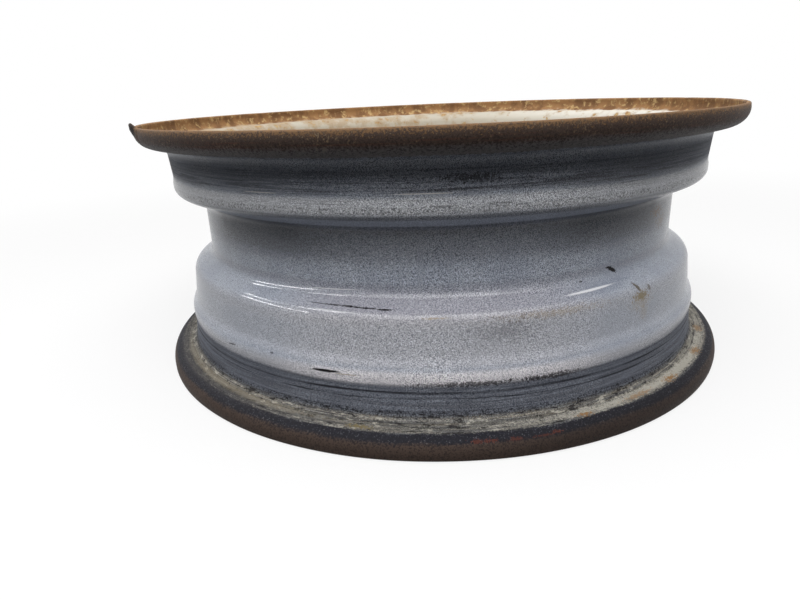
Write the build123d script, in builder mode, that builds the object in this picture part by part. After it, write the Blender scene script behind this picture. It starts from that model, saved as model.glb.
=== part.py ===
from build123d import *
import os
from math import cos, radians, sin, tan

# A pressed steel car wheel, 15 inch by 5 1/2 J, lying on its inboard flange.
# The axis is +Z, the street side is up, and z = 0 is the lowest edge of the inboard lip.
# All sizes are in millimetres and all angles in degrees.

# Rolled rim: overall contour on the tyre side
rim_diameter = 380.2
rim_width = 139.7
rim_sheet = 2.7

# J flanges
flange_height = 17.8
flange_width = 13.0
flange_curl_radius = 9.5
flange_foot_radius = 6.5
lip_lean = 8.0
lip_edge_round = 1.2

# Bead seats and the round humps that hold the tyre's beads on them
seat_taper = 5.0
seat_width = 19.8
hump_drop = 1.0
hump_rise_run = 4.4
hump_crest = 4.5
hump_blend_radius = 9.0

# Drop well, nearer to the street side, and the sloping ledge inboard of it
well_depth = 19.9
well_floor = 36.4
well_shoulder = 6.3
well_shoulder_radius = 6.5
well_corner_radius = 7.5
outboard_wall_lean = 23.0
inboard_wall_lean = 30.0
ledge_height = 13.4
ledge_radius = 8.0
ledge_to_hump_rise = 3.3
ledge_to_hump_run = 6.5
ledge_end_radius = 12.0

# Valve hole, through the outboard wall of the well
valve_hole_diameter = 11.3
valve_angle = 90.0

# Pressed wheel disc
disc_sheet = 3.8
disc_offset = 40.0
hub_bore_diameter = 54.1
hub_bore_lead_in = 1.0
hub_bend_radius = 8.0
nose_rise = 15.0
nose_wall_run = 14.0
nose_crown = 22.0
nose_bend_radius = 10.0
disc_slope = 27.0
skirt_bend_radius = 14.0
skirt_clearance = 0.1

# Bolt seats, each a raised boss round a conical hole
bolt_circle = 100.0
bolt_count = 4
bolt_hole_diameter = 14.6
bolt_cone_angle = 60.0
bolt_cone_depth = 5.0
bolt_angle = 45.0
boss_height = 3.0
boss_top_radius = 14.5
boss_slope_run = 3.5
boss_to_bend = 8.0
seat_sleeve_wall = 3.5
seat_groove = 4.6

# Vent holes, halfway between the nose and the skirt
vent_count = 8
vent_length = 38.0
vent_width = 24.0

# Arc welds that join the disc's skirt to the well
weld_count = 8
weld_arc = 28.0
weld_leg = 4.5
weld_throat = 3.4
weld_crown = 0.5
weld_angle = 22.5
weld_clearance = 0.05
weld_foot_clearance = 0.8

# Heights that follow from the sizes above
rim_height = rim_width + 2 * flange_width
inboard_face = flange_width
outboard_face = flange_width + rim_width
seat_radius = rim_diameter / 2
seat_end_radius = seat_radius - seat_width * tan(radians(seat_taper))
hump_radius = seat_radius - hump_drop
hump_offset = seat_width + hump_rise_run
well_radius = seat_radius - well_depth
well_inner_radius = well_radius - rim_sheet


# The lip leans in over the curl, and its straight end makes up the flange's width.
def lip_points():
    """Corner and tip of a lip's tyre side, each as a radius and a distance from the flange face."""
    lean = radians(lip_lean)
    rounding = lip_edge_round * (cos(lean) + sin(lean) - 1)
    end_run = (flange_width - flange_curl_radius * (1 + sin(lean)) + rounding) / cos(lean)
    curl_centre = seat_radius + flange_height - flange_curl_radius
    corner_radius = curl_centre + flange_curl_radius * (1 + sin(lean)) / cos(lean)
    tip_radius = curl_centre + flange_curl_radius * cos(lean) - end_run * sin(lean)
    tip_height = flange_curl_radius * (1 + sin(lean)) + end_run * cos(lean)
    return corner_radius, tip_radius, tip_height


lip_corner_radius, lip_tip_radius, lip_tip_height = lip_points()

# The well's theoretical corners, counted down from the street side
shoulder_z = outboard_face - hump_offset - well_shoulder
well_top_z = shoulder_z - (hump_radius - well_radius) * tan(radians(outboard_wall_lean))
well_low_z = well_top_z - well_floor
ledge_start_z = well_low_z - ledge_height * tan(radians(inboard_wall_lean))
ledge_end_z = inboard_face + hump_offset + hump_crest + ledge_to_hump_run

# Tyre side of the rim from the street lip down to the inboard lip, with each corner's radius
rim_corners = [
    (lip_corner_radius, outboard_face, flange_curl_radius),
    (seat_radius, outboard_face, flange_foot_radius),
    (seat_end_radius, outboard_face - seat_width, hump_blend_radius),
    (hump_radius, outboard_face - hump_offset, hump_blend_radius),
    (hump_radius, shoulder_z, well_shoulder_radius),
    (well_radius, well_top_z, well_corner_radius),
    (well_radius, well_low_z, well_corner_radius),
    (well_radius + ledge_height, ledge_start_z, ledge_radius),
    (hump_radius - ledge_to_hump_rise, ledge_end_z, ledge_end_radius),
    (hump_radius, inboard_face + hump_offset + hump_crest, hump_blend_radius),
    (hump_radius, inboard_face + hump_offset, hump_blend_radius),
    (seat_end_radius, inboard_face + seat_width, hump_blend_radius),
    (seat_radius, inboard_face, flange_foot_radius),
    (lip_corner_radius, inboard_face, flange_curl_radius),
]
street_tip = (lip_tip_radius, outboard_face + lip_tip_height)
inboard_tip = (lip_tip_radius, inboard_face - lip_tip_height)

# The valve hole is centred between the bends at the two ends of the well's outboard wall.
wall_lean = radians(outboard_wall_lean)
wall_bend = tan(radians((90 - outboard_wall_lean) / 2))
wall_top_drop = (well_shoulder_radius * wall_bend) * sin(wall_lean)
wall_low_rise = (well_corner_radius * wall_bend) * sin(wall_lean)
valve_z = (shoulder_z - wall_top_drop + well_top_z + wall_low_rise) / 2
valve_radius = well_radius + (valve_z - well_top_z) / tan(wall_lean)
valve_turn = radians(valve_angle)
valve_plane = Plane(
    origin=(valve_radius * cos(valve_turn), valve_radius * sin(valve_turn), valve_z),
    z_dir=(sin(wall_lean) * cos(valve_turn), sin(wall_lean) * sin(valve_turn), -cos(wall_lean)),
)
valve_reach = 3 * rim_sheet

# Rolled rim: one sheet of even thickness, turned about the axle
with BuildPart() as rim:
    with BuildSketch(Plane.XZ) as rim_section:
        with BuildLine() as rim_outline:
            FilletPolyline(
                street_tip,
                *[(r, z) for r, z, _ in rim_corners],
                inboard_tip,
                radius=[corner for _, _, corner in rim_corners],
            )
            offset(amount=rim_sheet, side=Side.RIGHT)
        make_face()
        lip_ends = rim_section.vertices().sort_by(Axis.Y)
        fillet(lip_ends[:2] + lip_ends[-2:], radius=lip_edge_round)
    revolve(axis=Axis.Z)

    # Valve hole, square to the slope of the well's outboard wall
    with BuildSketch(valve_plane) as valve_hole:
        Circle(valve_hole_diameter / 2)
    extrude(amount=valve_reach, both=True, mode=Mode.SUBTRACT)

rim.part.label = "rim"


def radial_plane(angle):
    """Upright plane through the axle at an angle from +X, with x outwards and y up."""
    turn = radians(angle)
    return Plane(origin=(0, 0, 0), x_dir=(cos(turn), sin(turn), 0), z_dir=(sin(turn), -cos(turn), 0))


# Radii of the bore and, about each bolt, of the hole, its cone, the boss and the groove behind it
hub_bore_radius = hub_bore_diameter / 2
bolt_hole_radius = bolt_hole_diameter / 2
bolt_cone_radius = bolt_hole_radius + bolt_cone_depth * tan(radians(bolt_cone_angle / 2))
boss_foot_radius = boss_top_radius + boss_slope_run
groove_inner_radius = bolt_hole_radius + seat_sleeve_wall
groove_outer_radius = groove_inner_radius + seat_groove

# Radii that carry the disc's bends, from the hub plate's edge to the skirt inside the well
hub_plate_radius = bolt_circle / 2 + boss_foot_radius + boss_to_bend
nose_inner_radius = hub_plate_radius + nose_wall_run
nose_outer_radius = nose_inner_radius + nose_crown
skirt_radius = well_inner_radius - skirt_clearance
vent_circle_radius = (nose_outer_radius + skirt_radius) / 2

# Disc heights: the offset runs from the rim's middle plane to the face that meets the hub
hub_face_z = rim_height / 2 + disc_offset
plate_z = hub_face_z + disc_sheet
nose_z = plate_z + nose_rise
boss_top_z = plate_z + boss_height
skirt_corner_z = nose_z - (skirt_radius - nose_outer_radius) * tan(radians(disc_slope))
well_low_bend = well_corner_radius * tan(radians((90 - inboard_wall_lean) / 2))
skirt_end_z = well_low_z + well_low_bend + weld_foot_clearance + weld_leg

# Street side of the disc from the axle out over the nose and down the skirt
disc_corners = [
    (hub_plate_radius, plate_z, hub_bend_radius),
    (nose_inner_radius, nose_z, nose_bend_radius),
    (nose_outer_radius, nose_z, nose_bend_radius),
    (skirt_radius, skirt_corner_z, skirt_bend_radius),
]

# Pressed disc: the same sheet all the way, then pierced for the vents, the bolts and the hub
with BuildPart() as wheel_disc:
    with BuildSketch(Plane.XZ) as disc_section:
        with BuildLine() as disc_outline:
            FilletPolyline(
                (0, plate_z),
                *[(r, z) for r, z, _ in disc_corners],
                (skirt_radius, skirt_end_z),
                radius=[corner for _, _, corner in disc_corners],
            )
            offset(amount=disc_sheet, side=Side.RIGHT)
        make_face()
    revolve(axis=Axis.Z)

    # Raised boss round each bolt, pressed up from a groove behind it
    with PolarLocations(bolt_circle / 2, bolt_count, start_angle=bolt_angle):
        with Locations((0, 0, plate_z)):
            Cone(boss_foot_radius, boss_top_radius, boss_height, align=(Align.CENTER, Align.CENTER, Align.MIN))
    with BuildSketch(Plane.XY.offset(hub_face_z)) as seat_grooves:
        with PolarLocations(bolt_circle / 2, bolt_count, start_angle=bolt_angle):
            Circle(groove_outer_radius)
            Circle(groove_inner_radius, mode=Mode.SUBTRACT)
    extrude(amount=boss_height, mode=Mode.SUBTRACT)
    with PolarLocations(bolt_circle / 2, bolt_count, start_angle=bolt_angle):
        with Locations((0, 0, boss_top_z)):
            CounterSinkHole(bolt_hole_radius, bolt_cone_radius, counter_sink_angle=bolt_cone_angle)

    # Oval vents, punched straight down through the slope outside the nose
    with BuildSketch(Plane.XY.offset(nose_z)) as vents:
        with PolarLocations(vent_circle_radius, vent_count):
            SlotOverall(vent_length, vent_width, rotation=90)
    extrude(amount=skirt_end_z - nose_z, mode=Mode.SUBTRACT)

    # Hub bore, with a lead-in on the side that the hub enters
    with Locations(Plane(origin=(0, 0, hub_face_z), z_dir=(0, 0, -1))):
        CounterSinkHole(hub_bore_radius, hub_bore_radius + hub_bore_lead_in, counter_sink_angle=90)

wheel_disc.part.label = "wheel_disc"

# Arc welds: a fillet in the corner between the skirt's inboard edge and the well, in equal runs
weld_radius = well_inner_radius - weld_clearance
weld_runs = []
for number in range(weld_count):
    weld_start = weld_angle + number * 360 / weld_count - weld_arc / 2
    with BuildPart() as disc_weld:
        with BuildSketch(radial_plane(weld_start)) as weld_section:
            with BuildLine() as weld_outline:
                Line((weld_radius, skirt_end_z - weld_leg), (weld_radius, skirt_end_z))
                Line((weld_radius, skirt_end_z), (weld_radius - weld_throat, skirt_end_z))
                SagittaArc(
                    (weld_radius - weld_throat, skirt_end_z),
                    (weld_radius, skirt_end_z - weld_leg),
                    weld_crown,
                )
            make_face()
        revolve(axis=Axis.Z, revolution_arc=weld_arc)
    disc_weld.part.label = f"disc_weld_{number + 1}"
    weld_runs.append(disc_weld.part)

os.makedirs("parts", exist_ok=True)
export_step(rim.part, "parts/rim.step")
export_step(wheel_disc.part, "parts/wheel_disc.step")
for run in weld_runs:
    export_step(run, f"parts/{run.label}.step")
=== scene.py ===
"""Dress a used pressed steel wheel rim: its shell, welds, finishes, studio and camera."""

import logging
from collections.abc import Callable
from dataclasses import dataclass
from enum import Enum
from math import cos, pi, radians, sin, tan
from typing import Any

import bpy
import numpy as np
from bpy.types import ID, Material, Node, NodeSocket, NodeTree, Object
from mathutils import Matrix, Vector


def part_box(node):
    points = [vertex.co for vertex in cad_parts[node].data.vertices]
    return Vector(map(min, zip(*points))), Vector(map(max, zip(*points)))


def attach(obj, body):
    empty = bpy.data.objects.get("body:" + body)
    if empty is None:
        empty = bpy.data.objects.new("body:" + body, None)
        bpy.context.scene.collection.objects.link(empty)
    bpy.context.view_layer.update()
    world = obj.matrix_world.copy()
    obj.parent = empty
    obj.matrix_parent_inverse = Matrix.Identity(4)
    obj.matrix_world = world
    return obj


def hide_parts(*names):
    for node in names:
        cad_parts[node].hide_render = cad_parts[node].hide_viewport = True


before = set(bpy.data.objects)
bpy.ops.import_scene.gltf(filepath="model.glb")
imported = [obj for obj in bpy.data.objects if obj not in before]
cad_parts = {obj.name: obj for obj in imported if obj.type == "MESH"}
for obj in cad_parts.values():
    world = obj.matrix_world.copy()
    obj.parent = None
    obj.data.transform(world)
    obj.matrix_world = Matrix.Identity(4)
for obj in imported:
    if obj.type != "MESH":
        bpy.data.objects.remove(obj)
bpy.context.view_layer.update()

MM = 0.001
CONTOUR_MAP = "Contour"
LOG = logging.getLogger("wheel_rim")
Colour = tuple[float, float, float]


class Slot(Enum):
    """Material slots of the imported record."""

    RIM = "rim_paint"
    DISC = "disc_paint"
    WELD = "weld_steel"


# Shader expressions


MIX_COLOURS = (6, 7)
MIX_RESULT = 2


class Graph:
    """The node tree of a material or of the world, filled through expressions."""

    def __init__(self, tree: NodeTree, material: Material | None = None) -> None:
        """Empty a node tree and keep it.

        Args:
            tree: The tree to fill.
            material: The material that the tree belongs to, if it isn't the world's.
        """
        self.tree = tree
        self.material = material
        self.tree.nodes.clear()

    @classmethod
    def of_material(cls, name: str) -> "Graph":
        """Start a new material with an empty tree."""
        material = bpy.data.materials.new(name)
        material.use_nodes = True
        return cls(material.node_tree, material)

    def put(self, socket: NodeSocket, value: Any) -> None:
        """Link an expression to a socket, or set a plain value on it."""
        if isinstance(value, Expr):
            self.tree.links.new(value.socket, socket)
        elif socket.type == "RGBA" and len(value) == 3:
            socket.default_value = (*value, 1.0)
        else:
            socket.default_value = value

    def node(
        self, kind: str, settings: dict[str, Any] | None = None, *values: Any, **inputs: Any
    ) -> Node:
        """Add any node.

        Args:
            kind: The node's type, such as ShaderNodeMath.
            settings: Properties that are set before the sockets.
            values: Values or expressions for its first sockets, in order.
            inputs: Values or expressions by socket name, with _ for a space.

        Returns:
            The new node.
        """
        made = self.tree.nodes.new(kind)
        for key, value in (settings or {}).items():
            setattr(made, key, value)
        for socket, value in zip(made.inputs, values):
            self.put(socket, value)
        for key, value in inputs.items():
            self.put(made.inputs[key.replace("_", " ")], value)
        return made

    def read(self, made: Node, output: int | str = 0) -> "Expr":
        """One output of a node as an expression."""
        return Expr(self, made.outputs[output])

    def number(self, operation: str, *values: Any) -> "Expr":
        """One Math node on one or two values."""
        return self.read(self.node("ShaderNodeMath", {"operation": operation}, *values))

    def scaled(self, vector: "Expr", factor: float) -> "Expr":
        """A vector times a number."""
        return self.read(self.node("ShaderNodeVectorMath", {"operation": "SCALE"}, vector, Scale=factor))

    def blend(self, mode: str, factor: Any, first: Any, second: Any) -> "Expr":
        """One Mix node on two colours."""
        made = self.node("ShaderNodeMix", {"data_type": "RGBA", "blend_type": mode}, factor)
        for socket, value in zip(MIX_COLOURS, (first, second)):
            self.put(made.inputs[socket], value)
        return self.read(made, MIX_RESULT)

    def mix(self, factor: Any, first: Any, second: Any) -> "Expr":
        """The first colour where the factor is 0 and the second where it is 1."""
        return self.blend("MIX", factor, first, second)

    def join(self, *numbers: Any) -> "Expr":
        """A vector of three numbers."""
        return self.read(self.node("ShaderNodeCombineXYZ", None, *numbers))

    def split(self, vector: "Expr") -> tuple["Expr", "Expr", "Expr"]:
        """The three numbers of a vector."""
        made = self.node("ShaderNodeSeparateXYZ", None, vector)
        return tuple(self.read(made, number) for number in range(3))

    def noise(self, vector: "Expr", scale: float, detail: float = 3.0, rough: float = 0.55) -> "Expr":
        """Smooth noise about 0.5 whose features are about 1 / scale of the vector's units."""
        numbers = {"Scale": scale, "Detail": detail, "Roughness": rough}
        return self.read(self.node("ShaderNodeTexNoise", Vector=vector, **numbers))

    def close(self, shader: Node, output: str = "ShaderNodeOutputMaterial") -> None:
        """Link a shader to the tree's output."""
        self.tree.links.new(shader.outputs[0], self.node(output).inputs["Surface"])

    def finish(self, **inputs: Any) -> Material:
        """Close the material with a Principled shader."""
        self.close(self.node("ShaderNodeBsdfPrincipled", **inputs))
        return self.material


def operator(operation: str, swapped: bool = False) -> Callable[["Expr", Any], "Expr"]:
    """The method of one operator.

    Args:
        operation: The operation as Blender's nodes name it.
        swapped: True for a reflected operator, which has the expression on its right.

    Returns:
        A method that combines colours by Mix and numbers by Math.
    """

    def combine(self: "Expr", other: Any) -> "Expr":
        """Combine an expression with a value or another expression."""
        pair = (other, self) if swapped else (self, other)
        if self.socket.type == "RGBA":
            return self.graph.blend(operation, 1.0, *pair)
        return self.graph.number(operation, *pair)

    return combine


@dataclass(frozen=True)
class Expr:
    """A socket that can be used in Python arithmetic."""

    graph: Graph
    socket: NodeSocket

    __add__ = operator("ADD")
    __radd__ = operator("ADD", swapped=True)
    __sub__ = operator("SUBTRACT")
    __rsub__ = operator("SUBTRACT", swapped=True)
    __mul__ = operator("MULTIPLY")
    __rtruediv__ = operator("DIVIDE", swapped=True)
    __pow__ = operator("POWER")

    def ramp(self, low: float, high: float) -> "Expr":
        """A smooth step from 0 at low to 1 at high, with high below low for a falling one."""
        low_value, high_value = (0.0, 1.0) if low < high else (1.0, 0.0)
        settings = {"interpolation_type": "SMOOTHSTEP"}
        values = (self, min(low, high), max(low, high), low_value, high_value)
        return self.graph.read(self.graph.node("ShaderNodeMapRange", settings, *values))

    def band(self, low: float, high: float, soft: float) -> "Expr":
        """1 between low and high, falling to 0 over a soft width centred on each end."""
        half = soft / 2
        return self.ramp(low - half, low + half) * self.ramp(high + half, high - half)


@dataclass
class Coat:
    """A colour that takes one layer after another."""

    graph: Graph
    colour: Any

    def lay(self, cover: Any, colour: Any, name: str = "") -> None:
        """Lay a named colour over the coat where the cover is 1."""
        self.colour = self.graph.mix(cover, self.colour, colour)
        self.colour.socket.node.label = name


# Shapes


ARC_SAMPLES = 33
END_SAMPLES = 5
LEAST_COST = 1e-6


@dataclass(frozen=True)
class Contour:
    """A sampled contour: points and unit directions as (radius, z) rows, and the length run."""

    points: np.ndarray
    along: np.ndarray
    run: np.ndarray


@dataclass(frozen=True)
class RimSection:
    """Section of the rolled rim, in metres, as the part's source has it."""

    rim_radius: float = 190.1 * MM
    rim_width: float = 139.7 * MM
    sheet: float = 2.7 * MM
    flange_height: float = 17.8 * MM
    flange_width: float = 13.0 * MM
    curl: float = 9.5 * MM
    foot: float = 6.5 * MM
    lip_lean: float = radians(8.0)
    lip_edge: float = 1.2 * MM
    seat_taper: float = radians(5.0)
    seat_width: float = 19.8 * MM
    hump_drop: float = 1.0 * MM
    hump_rise_run: float = 4.4 * MM
    hump_crest: float = 4.5 * MM
    hump_blend: float = 9.0 * MM
    well_depth: float = 19.9 * MM
    well_floor: float = 36.4 * MM
    well_shoulder: float = 6.3 * MM
    shoulder_bend: float = 6.5 * MM
    well_bend: float = 7.5 * MM
    street_wall_lean: float = radians(23.0)
    inboard_wall_lean: float = radians(30.0)
    ledge_height: float = 13.4 * MM
    ledge_bend: float = 8.0 * MM
    ledge_rise: float = 3.3 * MM
    ledge_run: float = 6.5 * MM
    ledge_end_bend: float = 12.0 * MM

    @property
    def seat_end_radius(self) -> float:
        """Radius where the bead seat's taper ends."""
        return self.rim_radius - self.seat_width * tan(self.seat_taper)

    @property
    def hump_radius(self) -> float:
        """Radius of the humps' crests."""
        return self.rim_radius - self.hump_drop

    @property
    def well_radius(self) -> float:
        """Radius of the well on the tyre side."""
        return self.rim_radius - self.well_depth

    @property
    def street_face(self) -> float:
        """Height of the street flange's face."""
        return self.flange_width + self.rim_width

    @property
    def shoulder_z(self) -> float:
        """Height of the corner where the street side's wall leaves for the well."""
        return self.street_face - self.seat_width - self.hump_rise_run - self.well_shoulder

    @property
    def well_top_z(self) -> float:
        """Height of the well's street side corner."""
        return self.shoulder_z - (self.hump_radius - self.well_radius) * tan(self.street_wall_lean)

    def lip(self) -> tuple[float, float, float]:
        """Radius of the lip's corner, and its tip as a radius and a height over the flange's face."""
        lean = self.lip_lean
        turn = self.curl * (1 + sin(lean))
        end = self.flange_width - turn + self.lip_edge * (cos(lean) + sin(lean) - 1)
        centre = self.rim_radius + self.flange_height - self.curl
        tip_radius = centre + self.curl * cos(lean) - end * tan(lean)
        return centre + turn / cos(lean), tip_radius, turn + end

    def corners(self) -> tuple[np.ndarray, np.ndarray]:
        """The contour's corners from the street tip to the inboard tip, and the bend at each."""
        low, high = self.flange_width, self.street_face
        hump = self.seat_width + self.hump_rise_run
        ledge_end_z = low + hump + self.hump_crest + self.ledge_run
        well_low_z = self.well_top_z - self.well_floor
        ledge_z = well_low_z - self.ledge_height * tan(self.inboard_wall_lean)
        lip_radius, tip_radius, tip_height = self.lip()
        end = [
            (tip_radius, -tip_height, 0.0),
            (lip_radius, 0.0, self.curl),
            (self.rim_radius, 0.0, self.foot),
            (self.seat_end_radius, self.seat_width, self.hump_blend),
            (self.hump_radius, hump, self.hump_blend),
        ]
        well = [
            (self.hump_radius, self.shoulder_z, self.shoulder_bend),
            (self.well_radius, self.well_top_z, self.well_bend),
            (self.well_radius, well_low_z, self.well_bend),
            (self.well_radius + self.ledge_height, ledge_z, self.ledge_bend),
            (self.hump_radius - self.ledge_rise, ledge_end_z, self.ledge_end_bend),
            (self.hump_radius, low + hump + self.hump_crest, self.hump_blend),
        ]
        street = [(radius, high - depth, bend) for radius, depth, bend in end]
        inboard = [(radius, low + depth, bend) for radius, depth, bend in reversed(end)]
        table = np.array(street + well + inboard)
        return table[:, :2], table[1:-1, 2]

    def contour(self, step: float, turn_step: float) -> Contour:
        """The tyre side of the sheet, sampled where it bends more than where it runs straight.

        Each bend is an arc: the point at angle p on it is the arc's start plus
        r sin(p) along the way in plus r (1 - cos(p)) towards the arc's centre.

        Args:
            step: Length of straight run that one sample covers.
            turn_step: Turn in radians that one sample covers.

        Returns:
            The sampled contour without the rounded ends of the sheet.
        """
        corners, bends = self.corners()
        ways = np.diff(corners, axis=0)
        ways /= np.linalg.norm(ways, axis=1)[:, None]
        way_in, way_out = ways[:-1], ways[1:]
        cross = way_in[:, 0] * way_out[:, 1] - way_in[:, 1] * way_out[:, 0]
        turns = np.arctan2(np.abs(cross), (way_in * way_out).sum(1))
        centre_way = np.sign(cross)[:, None] * np.c_[-way_in[:, 1], way_in[:, 0]]
        share = np.linspace(0, 1, ARC_SAMPLES)
        angle = turns[:, None, None] * share[None, :, None]
        start = corners[1:-1] - way_in * (bends * np.tan(turns / 2))[:, None]
        arcs = (
            start[:, None]
            + bends[:, None, None] * np.sin(angle) * way_in[:, None]
            + bends[:, None, None] * (1 - np.cos(angle)) * centre_way[:, None]
        )
        along = np.cos(angle) * way_in[:, None] + np.sin(angle) * centre_way[:, None]
        points = np.vstack([corners[:1], arcs.reshape(-1, 2), corners[-1:]])
        along = np.vstack([ways[:1], along.reshape(-1, 2), ways[-1:]])
        lengths = np.linalg.norm(np.diff(points, axis=0), axis=1)
        bent = np.arccos(np.clip((along[1:] * along[:-1]).sum(1), -1, 1))
        run = np.r_[0.0, lengths.cumsum()]
        cost = np.r_[0.0, (lengths / step + bent / turn_step + LEAST_COST).cumsum()]
        ends = np.interp([self.lip_edge, run[-1] - self.lip_edge], run, cost)
        wanted = np.linspace(*ends, int(round(np.ptp(ends))) + 1)
        columns = np.c_[points, along, run].T
        table = np.stack([np.interp(wanted, cost, column) for column in columns], axis=1)
        return Contour(table[:, :2], table[:, 2:4], table[:, 4])

    def loop(self, step: float, turn_step: float) -> tuple[np.ndarray, np.ndarray, np.ndarray]:
        """The closed outline of the sheet's section.

        The tyre side runs down, the inboard end is rounded, the inner side is the tyre side
        moved inwards by the sheet and runs back up, and the street end is rounded.

        Args:
            step: Length of straight run that one sample covers.
            turn_step: Turn in radians that one sample covers.

        Returns:
            Points as (radius, z), outward directions of the sheet's tyre side, and the map
            values as (length run, share of the sheet's thickness).
        """
        side = self.contour(step, turn_step)
        along = side.along / np.linalg.norm(side.along, axis=1)[:, None]
        out = np.c_[-along[:, 1], along[:, 0]]
        inner = side.points - self.sheet * out
        edge, sheet = self.lip_edge, self.sheet
        turn = np.linspace(0, pi / 2, END_SAMPLES)[1:]
        past = np.r_[edge * np.sin(turn), edge * np.cos(turn[:-1])]
        across = np.r_[edge * (1 - np.cos(turn)), sheet - edge * (1 - np.sin(turn[:-1]))]
        low_end = side.points[-1] + past[:, None] * along[-1] - across[:, None] * out[-1]
        high_end = side.points[0] - past[:, None] * along[0] - across[:, None] * out[0]
        points = np.vstack([side.points, low_end, inner[::-1], high_end[::-1]])
        low_out, high_out = (np.tile(out[end], (len(past), 1)) for end in (-1, 0))
        outward = np.vstack([out, low_out, out[::-1], high_out])
        share = across / sheet
        runs = np.r_[side.run, side.run[-1] + past, side.run[::-1], side.run[0] - past[::-1]]
        shares = np.r_[np.zeros_like(side.run), share, np.ones_like(side.run), share[::-1]]
        return points, outward, np.c_[runs, shares]


def bell(away: np.ndarray) -> np.ndarray:
    """The bell curve exp(-x^2)."""
    return np.exp(-(away**2))


def grid_faces(rows: int, columns: int, closed: bool) -> np.ndarray:
    """Quads of a grid whose columns close on themselves, with vertex row * columns + column.

    Args:
        rows: The grid's rows.
        columns: The grid's columns.
        closed: True where the last row joins the first one too.

    Returns:
        Quads as rows of four vertex numbers.
    """
    row, column = np.divmod(np.arange((rows if closed else rows - 1) * columns), columns)
    next_row, next_column = (row + 1) % rows, (column + 1) % columns
    corners = ((row, column), (next_row, column), (next_row, next_column), (row, next_column))
    return np.stack([one * columns + other for one, other in corners], axis=1)


def linked(name: str, data: ID) -> Object:
    """Make an object of some data and link it to the scene."""
    made = bpy.data.objects.new(name, data)
    bpy.context.scene.collection.objects.link(made)
    return made


def install(piece: Object, node: str, slot: Slot, finish: Material) -> None:
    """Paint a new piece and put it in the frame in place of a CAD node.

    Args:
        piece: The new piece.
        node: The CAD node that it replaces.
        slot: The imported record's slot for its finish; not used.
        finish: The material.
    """
    piece.data.materials.clear()
    piece.data.materials.append(finish)
    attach(piece, "root")
    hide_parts(node)


def mesh_object(
    name: str, points: np.ndarray, faces: np.ndarray, values: np.ndarray | None = None
) -> Object:
    """Make a smooth object from arrays, with its faces turned outwards.

    Args:
        name: The piece's name.
        points: Vertices as rows of x, y, z in metres.
        faces: Quads as rows of four vertex numbers.
        values: The Contour map's two values for each vertex, or None for no map.

    Returns:
        The new object, linked to the scene.
    """
    a, b, c, d = (points[faces[:, n]] for n in range(4))
    volume = (np.cross(a, b) * c).sum() + (np.cross(a, c) * d).sum()
    if volume < 0:
        faces = faces[:, ::-1]
    mesh = bpy.data.meshes.new(name)
    mesh.from_pydata(points, [], faces)
    if values is not None:
        layer = mesh.uv_layers.new(name=CONTOUR_MAP)
        layer.data.foreach_set("uv", values[faces.ravel()].ravel())
    mesh.polygons.foreach_set("use_smooth", np.ones(len(faces), bool))
    return linked(name, mesh)


@dataclass(frozen=True)
class Nub:
    """A hook of torn metal that stands on the street lip."""

    angle: float = -59.5
    half_angle: float = 1.7
    run: float = 0.6 * MM
    half_run: float = 4.4 * MM
    height: float = 2.2 * MM
    rise: float = 2.4 * MM
    through: float = 0.6

    def share(self, angle: np.ndarray, values: np.ndarray) -> np.ndarray:
        """Share of the nub's height at each place: exp(-(a^2 + b^2)^2) on the sheet's tyre side.

        Args:
            angle: Angles from the front in degrees, one row per angle.
            values: The map values of the loop, one per column.

        Returns:
            Shares from 0 to 1, one row per angle and one column per loop point.
        """
        across = (angle[:, None] - self.angle) / self.half_angle
        down = (values[None, :, 0] - self.run) / self.half_run
        return bell(across**2 + down**2) * (values[None, :, 1] < self.through)


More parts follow.
